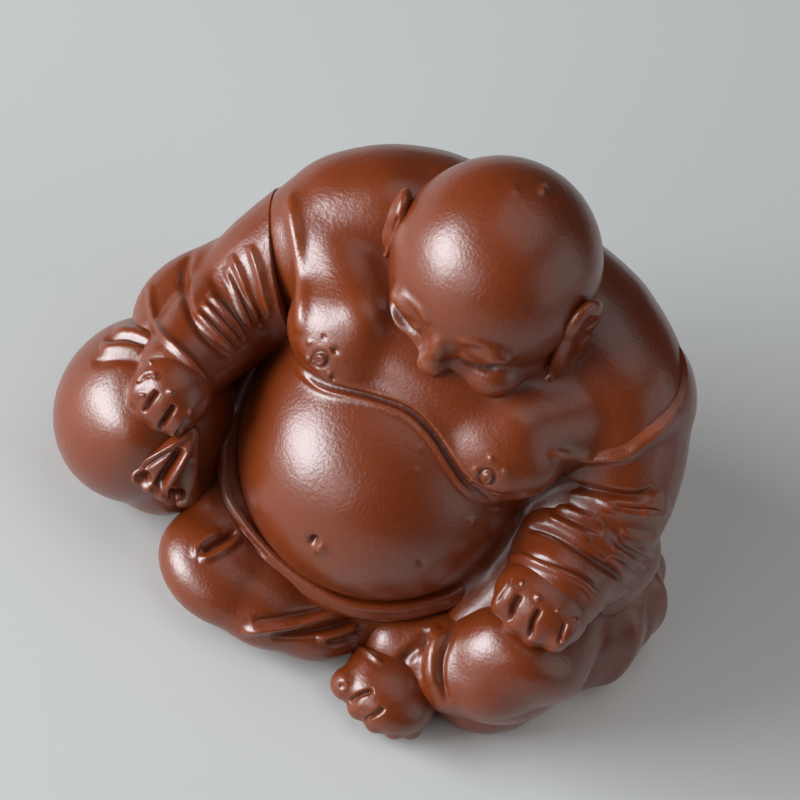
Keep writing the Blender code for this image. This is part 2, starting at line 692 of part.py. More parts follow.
def make_left_leg():
    """The raised leg, from the thigh over the knee to the trouser's cuff, and the trouser below it."""
    leg = [(LEFT_THIGH, LEFT_THIGH_SIZE), (LEFT_KNEE, LEFT_KNEE_SIZE), (LEFT_CUFF, TROUSER_CUFF_SIZE)]
    ankle = [(ANKLE_TOP, ANKLE_TOP_SIZE), (ANKLE, ANKLE_SIZE)]
    lute(fuse("left_leg", roll(leg) + roll(ankle), CLOTH_GRAIN, LEG_SHARE, BODY_SMOOTH_STEPS))


def make_robe_hem():
    lumps = [ball(HEM_FRONT, HEM_FRONT_SIZE), ball(HEM_SIDE, HEM_SIDE_SIZE)]
    lute(fuse("robe_hem", lumps, CLOTH_GRAIN, HEM_SHARE, BODY_SMOOTH_STEPS))


def make_foot():
    """The bare foot that comes out of the raised leg's trouser."""
    lumps = [ball(FOOT, FOOT_SIZE, (0, 0, FOOT_TURN))]
    for k in range(TOES):
        share = k / (TOES - 1)
        angle = math.radians(TOE_FAN * (2 * share - 1))
        size = BIG_TOE if k == 0 else SECOND_TOE + (LITTLE_TOE - SECOND_TOE) * share
        fall = TOE_FALL * (2 * share - 1)
        toe = []
        for far, rise in ((TOE_ROOT, TOE_ROOT_RISE), (TOE_TIP, TOE_TIP_RISE)):
            ahead = Vector((math.sin(angle) * far, -math.cos(angle) * far, rise - fall))
            toe.append((Vector((*HEEL, 0)) + ahead, size))
        lumps += roll(toe)
    lute(fuse("left_foot", lumps, HAND_GRAIN, FINE_SHARE, HAND_SMOOTH_STEPS))


make_body()
make_base_slab()
make_head()
make_sack()
make_waistband()
make_right_leg()
make_left_leg()
make_robe_hem()
make_sleeves()
make_hand("right_hand", RIGHT_HAND, RIGHT_HAND_SIZE)
make_hand("left_hand", LEFT_HAND, LEFT_HAND_SIZE)
make_foot()
make_sack_mouth()
make_ears()
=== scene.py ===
import math

import bpy
import numpy as np
from mathutils import Euler, Matrix, Vector


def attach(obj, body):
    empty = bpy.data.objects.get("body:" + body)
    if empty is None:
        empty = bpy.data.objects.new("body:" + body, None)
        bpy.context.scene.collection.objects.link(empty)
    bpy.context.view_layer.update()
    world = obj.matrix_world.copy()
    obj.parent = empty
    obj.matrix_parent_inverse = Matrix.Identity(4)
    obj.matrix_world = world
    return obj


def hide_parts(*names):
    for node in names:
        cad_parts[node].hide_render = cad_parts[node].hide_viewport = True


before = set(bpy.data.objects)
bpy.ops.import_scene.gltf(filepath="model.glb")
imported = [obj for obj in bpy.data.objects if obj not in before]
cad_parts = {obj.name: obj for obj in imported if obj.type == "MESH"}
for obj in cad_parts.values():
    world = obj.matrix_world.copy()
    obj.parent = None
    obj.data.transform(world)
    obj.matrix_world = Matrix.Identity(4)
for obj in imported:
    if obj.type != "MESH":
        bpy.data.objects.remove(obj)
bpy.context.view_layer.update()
print("frame loaded:", len(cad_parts), "nodes")

mm = 0.001  # sizes below are in millimetres

# the camera looks down on the figure's front, and is rolled as a hand-held one is
viewPoint = dict(elevation=48.0, roll=35.0, distance=360.0, span=101.3, target=(-1.7, 0.0, 21.5))

lift = math.radians(viewPoint["elevation"])
viewBack = np.array((0.0, -math.cos(lift), math.sin(lift)))
viewUp = np.array((0.0, math.sin(lift), math.cos(lift)))
eyePoint = np.array(viewPoint["target"]) + viewBack * viewPoint["distance"]


def makeCamera():
    bpy.ops.object.select_all(action="DESELECT")
    bpy.ops.object.camera_add()
    camera = bpy.context.object
    camera.name = "viewCamera"
    roll = math.radians(viewPoint["roll"])
    right, up, back = Vector((1, 0, 0)), Vector(viewUp), Vector(viewBack)
    turned = Matrix((
        right * math.cos(roll) + up * math.sin(roll),
        up * math.cos(roll) - right * math.sin(roll),
        back,
    )).transposed().to_4x4()
    turned.translation = Vector(eyePoint) * mm
    camera.matrix_world = turned
    camera.data.sensor_width = 36.0
    camera.data.lens = camera.data.sensor_width * viewPoint["distance"] / viewPoint["span"]
    camera.data.clip_start = 0.01
    bpy.context.scene.camera = camera


makeCamera()
print("camera placed")


# clay tools

def onPicture(points):  # where points fall on the upright picture: across and up, from its middle
    ray = points - eyePoint
    scale = viewPoint["distance"] / -(ray @ viewBack)
    return np.stack((ray[:, 0] * scale + viewPoint["target"][0], (ray @ viewUp) * scale), axis=1)


def lump(middle, size, turn=(0, 0, 0)):
    bpy.ops.object.select_all(action="DESELECT")
    sizes = size if isinstance(size, tuple) else (size, size, size)
    bpy.ops.mesh.primitive_uv_sphere_add(
        segments=48, ring_count=24, radius=0.5 * mm, location=Vector(middle) * mm,
        rotation=[math.radians(a) for a in turn], scale=sizes,
    )
    return [bpy.context.object]


def coil(points):  # a rolled snake of clay through points given as (middle, thickness)
    bpy.ops.object.select_all(action="DESELECT")
    bpy.ops.curve.primitive_bezier_curve_add(location=(0, 0, 0))
    snake = bpy.context.object
    snake.data.dimensions = "3D"
    knots = snake.data.splines[0].bezier_points
    knots.add(len(points) - 2)
    for knot, (middle, size) in zip(knots, points):
        knot.co = Vector(middle) * mm
        knot.handle_left_type = knot.handle_right_type = "AUTO"
        knot.radius = size / 2
    snake.data.bevel_depth = mm
    snake.data.bevel_resolution = 8
    snake.data.resolution_u = 12
    snake.data.use_fill_caps = True
    bpy.ops.object.convert(target="MESH")
    return [bpy.context.object] + lump(*points[0]) + lump(*points[-1])


def pressTogether(name, lumps, grain, blend):
    # joins the lumps under one skin; blend is how often the coarse skin is smoothed before the fine one
    bpy.ops.object.select_all(action="DESELECT")
    for one in lumps:
        one.select_set(True)
    bpy.context.view_layer.objects.active = lumps[0]
    bpy.ops.object.join()
    piece = bpy.context.object
    piece.name = name
    piece.data.name = name
    bpy.ops.object.transform_apply(location=True, rotation=True, scale=True)
    for fineness, smoothing in ((2 * grain, blend), (grain, 6)):
        skin = piece.modifiers.new("skin", "REMESH")
        skin.mode = "VOXEL"
        skin.voxel_size = fineness * mm
        bpy.ops.object.modifier_apply(modifier="skin")
        soften(piece, smoothing)
    return piece


def cutFlat(piece, place, facing):  # slices off what lies behind a plane, and closes the cut
    bpy.ops.object.select_all(action="DESELECT")
    piece.select_set(True)
    bpy.context.view_layer.objects.active = piece
    bpy.ops.object.mode_set(mode="EDIT")
    bpy.ops.mesh.select_all(action="SELECT")
    bpy.ops.mesh.bisect(plane_co=Vector(place) * mm, plane_no=facing, use_fill=True, clear_inner=True,
                        threshold=1e-7)
    bpy.ops.object.mode_set(mode="OBJECT")


def soften(piece, times):
    bpy.context.view_layer.objects.active = piece
    soft = piece.modifiers.new("soft", "SMOOTH")
    soft.iterations = times
    bpy.ops.object.modifier_apply(modifier="soft")


def setOnTable(piece):
    cutFlat(piece, (0, 0, 0), (0, 0, 1))


def softLine(path, steps=8):  # a smooth line through points on the picture
    knots = [np.array(p, float) for p in path]
    knots = [2 * knots[0] - knots[1]] + knots + [2 * knots[-1] - knots[-2]]
    line = []
    for a, b, c, d in zip(knots, knots[1:], knots[2:], knots[3:]):
        for k in range(steps):
            t = k / steps
            line.append(
                b + (c - a) * t / 2 + (a - 2.5 * b + 2 * c - d / 2) * t**2
                + (1.5 * b - a / 2 - 1.5 * c + d / 2) * t**3
            )
    return np.array(line + [knots[-2]])


class Modelling:  # a piece's surface while tools are drawn over it, as seen from one side
    def __init__(self, piece, flat=onPicture, eye=eyePoint):
        self.piece = piece
        self.flat = flat
        self.eye = np.array(eye, float)
        self.points = self.read("co") / mm
        self.look()

    def read(self, what):
        values = np.empty(len(self.piece.data.vertices) * 3, np.float32)
        self.piece.data.vertices.foreach_get(what, values)
        return values.reshape(-1, 3).astype(float)

    def look(self):
        self.normals = self.read("normal")
        self.picture = self.flat(self.points)
        toEye = self.eye - self.points
        toEye /= np.linalg.norm(toEye, axis=1)[:, None]
        self.seen = np.clip((self.normals * toEye).sum(1) * 4, 0, 1)

    def keep(self):
        mesh = self.piece.data
        mesh.vertices.foreach_set("co", (self.points * mm).astype(np.float32).ravel())
        mesh.update()
        self.look()

    def along(self, path, reach):
        # for the points near a line: which they are, how far off, on which side and how far along
        line = softLine(path)
        low, high = line.min(0) - reach, line.max(0) + reach
        near = np.flatnonzero(((self.picture > low) & (self.picture < high)).all(1) & (self.seen > 0))
        spots = self.picture[near]
        off = np.full(len(near), 1e9)
        side = np.ones(len(near))
        share = np.zeros(len(near))
        for k, (a, b) in enumerate(zip(line[:-1], line[1:])):
            step = b - a
            t = np.clip(((spots - a) @ step) / max(step @ step, 1e-9), 0, 1)
            gap = spots - a - t[:, None] * step
            far = np.linalg.norm(gap, axis=1)
            closer = far < off
            off = np.where(closer, far, off)
            side = np.where(closer, np.sign(step[0] * gap[:, 1] - step[1] * gap[:, 0]), side)
            share = np.where(closer, (k + t) / (len(line) - 1), share)
        return near, off, side, share

    def push(self, near, amount):
        self.points[near] += self.normals[near] * (amount * self.seen[near])[:, None]

    def stroke(self, path, width, height, fade=0.25):
        # a ridge, or a crease where height is below zero
        near, off, side, share = self.along(path, 3 * width)
        ends = np.clip(np.minimum(share, 1 - share) / fade, 0, 1) if fade else 1.0
        self.push(near, height * np.exp(-(off / width) ** 2) * ends * (2 - ends))

    def ledge(self, path, width, height, run, fade=0.15):
        # an edge lying on the surface: up at once on the line's left, and sinking away over the run
        near, off, side, share = self.along(path, run)
        rise = 1 / (1 + np.exp(-off * side / width * 4))
        ends = np.clip(np.minimum(share, 1 - share) / fade, 0, 1)
        self.push(near, height * rise * np.clip(1 - off / run, 0, 1) ** 1.5 * ends)

    def dab(self, spot, width, height):
        off = np.linalg.norm(self.picture - np.array(spot), axis=1)
        near = np.flatnonzero((off < 3 * width) & (self.seen > 0))
        self.push(near, height * np.exp(-(off[near] / width) ** 2))

    def refine(self, marks):
        # halves the faces round thin marks, given as (points, width), so that they come out crisp
        thin = np.zeros(len(self.points), bool)
        for path, width in marks:
            near, off, side, share = self.along(path, 2.6 * width)
            thin[near[off < 2.6 * width]] = True
        mesh = self.piece.data
        mesh.vertices.foreach_set("select", thin)
        mesh.edges.foreach_set("select", self.bothEnds(mesh.edges, thin))
        mesh.polygons.foreach_set("select", np.zeros(len(mesh.polygons), bool))
        bpy.ops.object.select_all(action="DESELECT")
        self.piece.select_set(True)
        bpy.context.view_layer.objects.active = self.piece
        bpy.context.tool_settings.mesh_select_mode = (False, True, False)
        bpy.ops.object.mode_set(mode="EDIT")
        bpy.ops.mesh.subdivide(number_cuts=1)
        bpy.ops.object.mode_set(mode="OBJECT")
        self.points = self.read("co") / mm
        self.look()

    def bothEnds(self, edges, chosen):
        ends = np.empty(len(edges) * 2, np.int32)
        edges.foreach_get("vertices", ends)
        return chosen[ends.reshape(-1, 2)].all(1)

    def strokes(self, rows):
        self.refine([(path, width) for path, width, height in rows if width < 0.7])
        for path, width, height in rows:
            self.stroke(path, width, height)
        self.keep()

    def dabs(self, rows):
        small = [row for row in rows if row[1] < 0.9]
        self.refine([((spot, (spot[0] + 0.01, spot[1])), width) for spot, width, height in small])
        for spot, width, height in rows:
            self.dab(spot, width, height)
        self.keep()

    def rings(self, rows):  # closed rings round a spot, drawn as (spot, radius, width, height)
        lines = []
        for (x, v), radius, width, height in rows:
            turns = [math.tau * k / 10 for k in range(11)]
            ring = [(x + radius * math.cos(t), v + radius * math.sin(t)) for t in turns]
            lines.append((ring, width, height))
        self.refine([(path, width) for path, width, height in lines])
        for path, width, height in lines:
            self.stroke(path, width, height, fade=0)
        self.keep()


# clay finish

class Socket:  # shader maths as plain expressions
    def __init__(self, tree, output):
        self.tree = tree
        self.output = output

    def node(self, kind, settings=None, **links):
        made = self.tree.nodes.new(kind)
        for key, value in (settings or {}).items():
            setattr(made, key, value)
        for key, value in links.items():
            index = int(key[1:]) if key[0] == "_" and key[1:].isdigit() else key.replace("_", " ")
            socket = made.inputs[index]
            if isinstance(value, Socket):
                self.tree.links.new(value.output, socket)
            else:
                socket.default_value = value
        return made

    def get(self, made, output=0):
        return Socket(self.tree, made.outputs[output])

    def maths(self, operation, first, second):
        return self.get(self.node("ShaderNodeMath", {"operation": operation}, _0=first, _1=second))

    def __add__(self, other):
        return self.maths("ADD", self, other)

    def __radd__(self, other):
        return self.maths("ADD", other, self)

    def __sub__(self, other):
        return self.maths("SUBTRACT", self, other)

    def __mul__(self, other):
        return self.maths("MULTIPLY", self, other)

    def __rmul__(self, other):
        return self.maths("MULTIPLY", other, self)

    def blend(self, first, second):  # this value as the share of the second colour
        mixed = self.node("ShaderNodeMix", {"data_type": "RGBA"}, Factor=self, _6=first, _7=second)
        return self.get(mixed, 2)


clayFinish = dict(
    # the darkest colour here is painted shade, with some stain, laid into the hollows
    colour=(0.132, 0.0185, 0.002, 1), warm=(0.168, 0.027, 0.003, 1), hollowStainAndShade=(0.047, 0.0056, 0.001, 1),
    # this lighter colour is a painted highlight, with some wear, laid onto the raised places
    wornAndHighlit=(0.240, 0.047, 0.008, 1),
    roughness=0.32, grain=0.38, grainDepth=0.0003, poreSize=0.10,
    specular=0.55, coat=0.4, coatRoughness=0.3,
)


def makeClay():
    clay = bpy.data.materials.new("seasonedRedClay")
    clay.use_nodes = True
    tree = clay.node_tree
    shader = tree.nodes["Principled BSDF"]
    start = Socket(tree, tree.nodes.new("ShaderNodeTexCoord").outputs["Object"])
    clouds = start.get(start.node("ShaderNodeTexNoise", None, Vector=start, Scale=90.0, Detail=3.0))
    grain = start.get(start.node("ShaderNodeTexNoise", None, Vector=start, Scale=2600.0, Detail=2.0))
    peel = start.get(start.node("ShaderNodeTexNoise", None, Vector=start, Scale=900.0, Detail=1.0))
    pores = start.get(start.node("ShaderNodeTexVoronoi", None, Vector=start, Scale=380.0))
    cavity = start.get(start.node("ShaderNodeAttribute", {"attribute_name": "cavity"}), "Fac")
    ridge = start.get(start.node("ShaderNodeAttribute", {"attribute_name": "ridge"}), "Fac")
    body = clouds.blend(clayFinish["colour"], clayFinish["warm"])
    # the base colour: painted shade darkens the hollows and a painted highlight lightens the raised places
    wornAndHighlit = cavity.blend(ridge.blend(body, clayFinish["wornAndHighlit"]), clayFinish["hollowStainAndShade"])
    tree.links.new(wornAndHighlit.output, shader.inputs["Base Color"])
    rough = clayFinish["roughness"] - 0.05 + 0.10 * clouds + 0.16 * cavity - 0.06 * ridge
    tree.links.new(rough.output, shader.inputs["Roughness"])
    limits = dict(_1=0.0, _2=clayFinish["poreSize"], _3=0.0, _4=1.0)
    pits = start.get(start.node("ShaderNodeMapRange", {"clamp": True}, Value=pores, **limits))
    height = grain * 0.45 + peel * 0.35 + pits * 0.2
    relief = dict(Strength=clayFinish["grain"], Distance=clayFinish["grainDepth"])
    bump = start.node("ShaderNodeBump", None, Height=height, **relief)
    tree.links.new(bump.outputs["Normal"], shader.inputs["Normal"])
    shader.inputs["Specular IOR Level"].default_value = clayFinish["specular"]
    shader.inputs["IOR"].default_value = 1.5
    shader.inputs["Coat Weight"].default_value = clayFinish["coat"]
    shader.inputs["Coat Roughness"].default_value = clayFinish["coatRoughness"]
    return clay


redClay = makeClay()


def finishPiece(piece, *nodes):
    # paints shade, with some stain, into the hollows and a highlight, with some wear, onto the raised places,
    # by how hollow or raised the surface is, then gives the clay and the place on the figure
    mesh = piece.data
    edges = np.empty(len(mesh.edges) * 2, np.int32)
    mesh.edges.foreach_get("vertices", edges)
    edges = edges.reshape(-1, 2)
    surface = Modelling(piece)
    count = np.bincount(edges.ravel(), minlength=len(mesh.vertices)).astype(float)

    def spread(values):
        total = np.zeros_like(values)
        np.add.at(total, edges[:, 0], values[edges[:, 1]])
        np.add.at(total, edges[:, 1], values[edges[:, 0]])
        return total / count.reshape((-1,) + (1,) * (values.ndim - 1))

    hollow = ((spread(surface.points) - surface.points) * surface.normals).sum(1)
    for _ in range(3):
        hollow = spread(hollow)
    # cavity marks where the painted shade goes, ridge where the painted highlight goes
    for name, sign in (("cavity", 22), ("ridge", -16)):
        shade = mesh.attributes.new(name, "FLOAT", "POINT")
        shade.data.foreach_set("value", np.clip(hollow * sign, 0, 1).astype(np.float32))
    mesh.materials.clear()
    mesh.materials.append(redClay)
    mesh.shade_smooth()
    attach(piece, "root")
    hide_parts(*nodes)
    print(piece.name, "made:", len(mesh.vertices), "points")


# the trunk: belly, chest, shoulders and back in one skin

trunk = dict(
    grain=0.42, blend=10,
    belly=((0.6, -6.0, 19.5), (37.8, 41.2, 34.6)),
    back=((1.0, 8.0, 25.0), (54.0, 39.0, 47.0)),
    chest=((0.0, -3.0, 35.0), (36.0, 20.0, 15.4)),
    breast=((11.6, -8.0, 35.0), (16.0, 14.0, 11.0), (42, 0, 8)),
    robeBehind=((1.0, 9.5, 12.0), (64.0, 40.0, 37.0)), robeFill=((1.0, 12.6, 20.0), (53.0, 32.0, 30.0)),
    yoke=(
        ((-20.2, 3.6, 33.2), 18.8), ((-18.5, 6.0, 34.9), 21.0), ((-11.5, 10.0, 36.5), 24.0),
        ((0.0, 11.0, 36.5), 24.5), ((12.6, 10.4, 36.4), 24.4), ((19.5, 7.0, 36.3), 21.0),
        ((21.6, 5.0, 34.8), 18.6),
    ),
    rightPectoral=(((-18.5, 2.0, 35.2), 15.0), ((-11.5, -6.6, 36.0), 11.6)),
    leftPectoral=(((17.4, 2.8, 36.0), 14.6), ((11.5, -6.6, 36.0), 11.8)),
    rightPanel=(((-22.0, -2.0, 21.0), 7.0), ((-21.6, -9.0, 14.0), 7.6)),
    leftPanel=(((23.0, -3.0, 28.0), 9.4), ((23.8, -9.4, 20.4), 9.6), ((22.6, -14.4, 11.4), 9.6)),
    breastLine=(
        (-17.0, -1.6), (-15.5, -2.9), (-13.0, -3.6), (-10.0, -3.6), (-5.0, -1.7), (0.0, -0.4),
        (4.0, -1.0), (8.0, -2.6), (11.0, -3.6), (14.0, -3.4), (16.5, -2.2), (18.0, -0.5),
    ),
    breastEdge=(0.5, 0.38, 6.0), creaseDrop=0.8,
    leftRim=((17.4, 5.2), (20.0, 6.6), (22.4, 7.9), (24.4, 9.3)),
    rightRim=((-28.5, 13.6), (-26.2, 11.2), (-23.6, 8.6), (-20.6, 5.2), (-18.0, 1.4), (-17.0, -0.6)),
    swellings=(((-11.0, 6.0), 3.6, 0.9), ((-18.0, 20.5), 4.6, 1.1)),
    navel=(((-0.5, -20.9), 0.55, -1.0), ((0.8, -21.2), 0.6, 0.45), ((-1.9, -21.1), 0.35, 0.12)),
    nipples=((-12.9, -1.6), (13.0, -1.7)), nippleGroove=(0.95, 0.26, -0.28), nippleRing=(0.55, 0.24, 0.35),
    nippleBead=(0.3, 0.3),
    specks=(
        ((-12.0, 0.4), 0.4, -0.4), ((-14.2, 1.0), 0.28, -0.2), ((-15.3, -0.6), 0.3, 0.2),
        ((-14.2, -2.5), 0.35, 0.25), ((-10.9, -2.4), 0.35, 0.25), ((-10.2, -2.7), 0.3, -0.25),
        ((11.2, -1.8), 0.35, 0.25), ((12.0, 0.5), 0.3, 0.25), ((14.4, 0.2), 0.35, 0.25),
        ((11.6, -3.2), 0.3, 0.2), ((14.6, -7.4), 0.45, 0.3), ((12.3, -15.5), 0.5, -0.3),
        ((5.2, -6.0), 0.3, 0.12), ((4.0, -3.6), 0.3, 0.12),
    ),
    robeRim=(
        (-28.0, 30.0), (-20.0, 35.0), (-10.0, 35.6), (0.0, 34.2), (11.0, 36.0), (21.0, 36.4), (28.0, 32.0),
    ),
    robeEdge=(0.6, 0.8, 7.0),
    robeFolds=(
        (((-18.0, 32.0), (-12.0, 22.0), (-9.0, 10.0), (-8.0, 1.0)), 1.6, 0.8),
        (((-24.0, 28.0), (-20.0, 17.0), (-19.0, 2.0)), 1.8, 0.9),
        (((-6.0, 31.0), (-2.5, 20.0), (-1.0, 8.0)), 1.3, 0.6),
        (((6.0, 31.0), (4.0, 20.0), (4.5, 3.0)), 1.5, 0.7),
        (((16.0, 33.0), (12.5, 22.0), (12.0, 2.0)), 1.6, 0.9),
        (((25.0, 29.0), (22.0, 17.0), (23.0, 2.0)), 1.8, 0.9),
        (((-15.0, 26.0), (-13.5, 14.0), (-14.0, 2.0)), 1.0, -0.6),
        (((1.0, 28.0), (1.5, 16.0), (1.5, 4.0)), 1.0, -0.5),
        (((18.5, 27.0), (17.0, 14.0), (17.5, 2.0)), 1.1, -0.7),
    ),
    sideFolds=(
        (((2.0, 25.0), (0.5, 14.0), (0.0, 2.0)), 1.5, 0.8),
        (((8.0, 27.0), (8.5, 14.0), (9.0, 2.0)), 1.6, 0.9),
        (((15.0, 28.0), (17.5, 14.0), (18.0, 2.0)), 1.6, 0.8),
        (((5.0, 24.0), (4.5, 12.0), (4.5, 2.0)), 1.0, -0.6),
        (((11.5, 26.0), (13.0, 12.0), (13.5, 2.0)), 1.0, -0.6),
    ),
    slabSeat=(36.6, 26.6, 4.3),
)


def mirrored(middle, size, turn=(0, 0, 0)):
    return (-middle[0], middle[1], middle[2]), size, (turn[0], -turn[1], -turn[2])


def cutSlabSeat(piece):  # the pocket in the underside that the base slab lies in
    length, depth, height = trunk["slabSeat"]
    bpy.ops.object.select_all(action="DESELECT")
    middle = Vector((*trunk["robeBehind"][0][:2], 0)) * mm
    bpy.ops.mesh.primitive_cylinder_add(
        vertices=96, radius=0.5 * mm, depth=2 * mm, location=middle, scale=(length, depth, height),
    )
    pocket = bpy.context.object
    bpy.context.view_layer.objects.active = piece
    seat = piece.modifiers.new("seat", "BOOLEAN")
    seat.object = pocket
    seat.operation = "DIFFERENCE"
    bpy.ops.object.modifier_apply(modifier="seat")
    bpy.data.objects.remove(pocket)


def fromBehind(points):  # across and up, for the points of the back only
    return np.where(points[:, 1:2] > 5, points[:, [0, 2]], 1e6)


def fromRight(points):  # front to back and up, for the points of the figure's right side only
    return np.where(points[:, :1] < -14, points[:, 1:], 1e6)


def fromLeft(points):  # the same for the left side
    return np.where(points[:, :1] > 14, points[:, 1:], 1e6)


def makeTrunk():
    lumps = []
    for name in ("belly", "back", "chest", "robeBehind", "robeFill"):
        lumps += lump(*trunk[name])
    lumps += lump(*trunk["breast"]) + lump(*mirrored(*trunk["breast"]))
    for name in ("yoke", "rightPectoral", "leftPectoral", "rightPanel", "leftPanel"):
        lumps += coil(list(trunk[name]))
    piece = pressTogether("trunk", lumps, trunk["grain"], trunk["blend"])
    setOnTable(piece)
    tool = Modelling(piece)
    for spot, width, height in trunk["swellings"]:
        tool.dab(spot, width, height)
    tool.ledge(trunk["breastLine"], *trunk["breastEdge"])
    tool.keep()
    lower = [(x, v - trunk["creaseDrop"]) for x, v in trunk["breastLine"]]
    tool.strokes([
        (trunk["breastLine"], 0.42, -0.5), (lower, 0.5, 0.35),
        (trunk["rightRim"], 0.8, 0.55), (trunk["leftRim"], 0.7, 0.7),
    ])
    tool.rings([(spot, *trunk[ring]) for ring in ("nippleGroove", "nippleRing") for spot in trunk["nipples"]])
    beads = [(spot, *trunk["nippleBead"]) for spot in trunk["nipples"]]
    tool.dabs([*trunk["navel"], *beads, *trunk["specks"]])
    robe = Modelling(piece, fromBehind, (0, 400, 30))
    robe.ledge(trunk["robeRim"][::-1], *trunk["robeEdge"])
    robe.keep()
    robe.strokes(list(trunk["robeFolds"]) + [(trunk["robeRim"], 0.8, 0.5)])
    Modelling(piece, fromRight, (-400, 5, 25)).strokes(trunk["sideFolds"])
    setOnTable(piece)
    cutSlabSeat(piece)
    finishPiece(piece, "body_front_shell", "body_back_shell")


makeTrunk()

# the head and the ears; the face is a plain resting one

head = dict(
    grain=0.26, blend=5, place=(-1.6, 3.0, 48.1), turn=(6.0, -9.0, -3.0),
    skull=((0, 0, 0), (25.6, 27.0, 26.0)),
    jaw=((0, -1.5, -6.5), (24.1, 23.0, 19.0)),
    chin=((0, -5.5, -12.0), (14.0, 12.0, 9.0)),
    bridge=((0, -12.5, -3.2), (3.2, 4.4, 7.0)),
    noseTip=((0, -13.0, -5.9), (4.4, 4.2, 3.2)),
    lips=((0, -11.9, -10.6), (7.0, 5.0, 3.4)),
    cheek=((5.8, -8.9, -6.8), (8.5, 7.5, 7.5)),
    brow=((4.6, -10.9, -0.6), (8.0, 4.6, 3.0)),
    earTop=((12.9, -2.2, 1.6), (2.6, 6.4, 7.4)),
    ear=((12.9, -2.6, -2.6), (2.6, 6.0, 14.6)),
    lobe=((12.4, -5.0, -10.6), (3.0, 4.4, 8.6)),
    earFlare=18.0, earGrain=0.22, earBlend=3,
    faceLines=(
        (((2.4, -3.4), (4.2, -4.0), (6.2, -3.8), (7.6, -3.0)), 0.45, -0.55),
        (((2.6, -2.2), (4.6, -2.3), (7.0, -1.9)), 0.7, 0.35),
        (((1.8, 0.2), (4.2, 1.1), (7.4, 0.5)), 0.6, 0.3),
        (((1.6, -5.6), (2.5, -6.4), (2.2, -7.5)), 0.35, -0.35),
    ),
    nostril=((1.1, -7.9), 0.4, -0.5),
    mouthLines=(
        (((-4.2, -9.9), (-2.2, -10.6), (0.0, -10.8), (2.2, -10.6), (4.2, -9.9)), 0.4, -0.6),
        (((-2.2, -12.3), (0.0, -12.6), (2.2, -12.3)), 0.8, -0.4),
    ),
    crownBeads=(((-2.1, 32.2), 0.6, 0.35), ((-5.2, 30.2), 0.8, 0.15)),
    rightHollow=((-15.2, 19.0), (-15.0, 16.0), (-14.4, 13.0)),
    leftHollow=((12.4, 23.0), (13.2, 19.0), (14.0, 16.0)),
)
headPlace = Matrix.LocRotScale(Vector(head["place"]), Euler([math.radians(a) for a in head["turn"]]), None)


def onHead(middle, size, flare=0.0):
    nod, tilt, turn = head["turn"]
    return lump(headPlace @ Vector(middle), size, (nod, tilt, turn + flare))


def facing(points):  # the face seen straight on: across and up, from the skull's middle
    back = np.array(headPlace.inverted())
    local = points @ back[:3, :3].T + back[:3, 3]
    return local[:, [0, 2]]


def makeHead():
    lumps = []
    for name in ("skull", "jaw", "chin", "bridge", "noseTip", "lips"):
        lumps += onHead(*head[name])
    for name in ("cheek", "brow"):
        lumps += onHead(*head[name]) + onHead(*mirrored(*head[name])[:2])
    piece = pressTogether("baldHead", lumps, head["grain"], head["blend"])
    tool = Modelling(piece, facing, headPlace @ Vector((0, -400, 0)))
    for side in (-1, 1):
        for path, width, height in head["faceLines"]:
            tool.stroke([(side * x, z) for x, z in path], width, height)
        (x, z), width, height = head["nostril"]
        tool.dab((side * x, z), width, height)
    tool.keep()
    tool.strokes(head["mouthLines"])
    Modelling(piece).dabs(head["crownBeads"])
    finishPiece(piece, "head")


def makeEar(name, node, side):
    lumps = []
    for middle, size in (head["earTop"], head["ear"], head["lobe"]):
        lumps += onHead((side * middle[0], middle[1], middle[2]), size, -side * head["earFlare"])
    piece = pressTogether(name, lumps, head["earGrain"], head["earBlend"])
    hollow = head["rightHollow"] if side < 0 else head["leftHollow"]
    Modelling(piece).strokes([(hollow, 0.8, -0.8)])
    finishPiece(piece, node)


makeHead()
makeEar("rightEar", "right_ear", -1)
makeEar("leftEar", "left_ear", 1)

# the sleeves

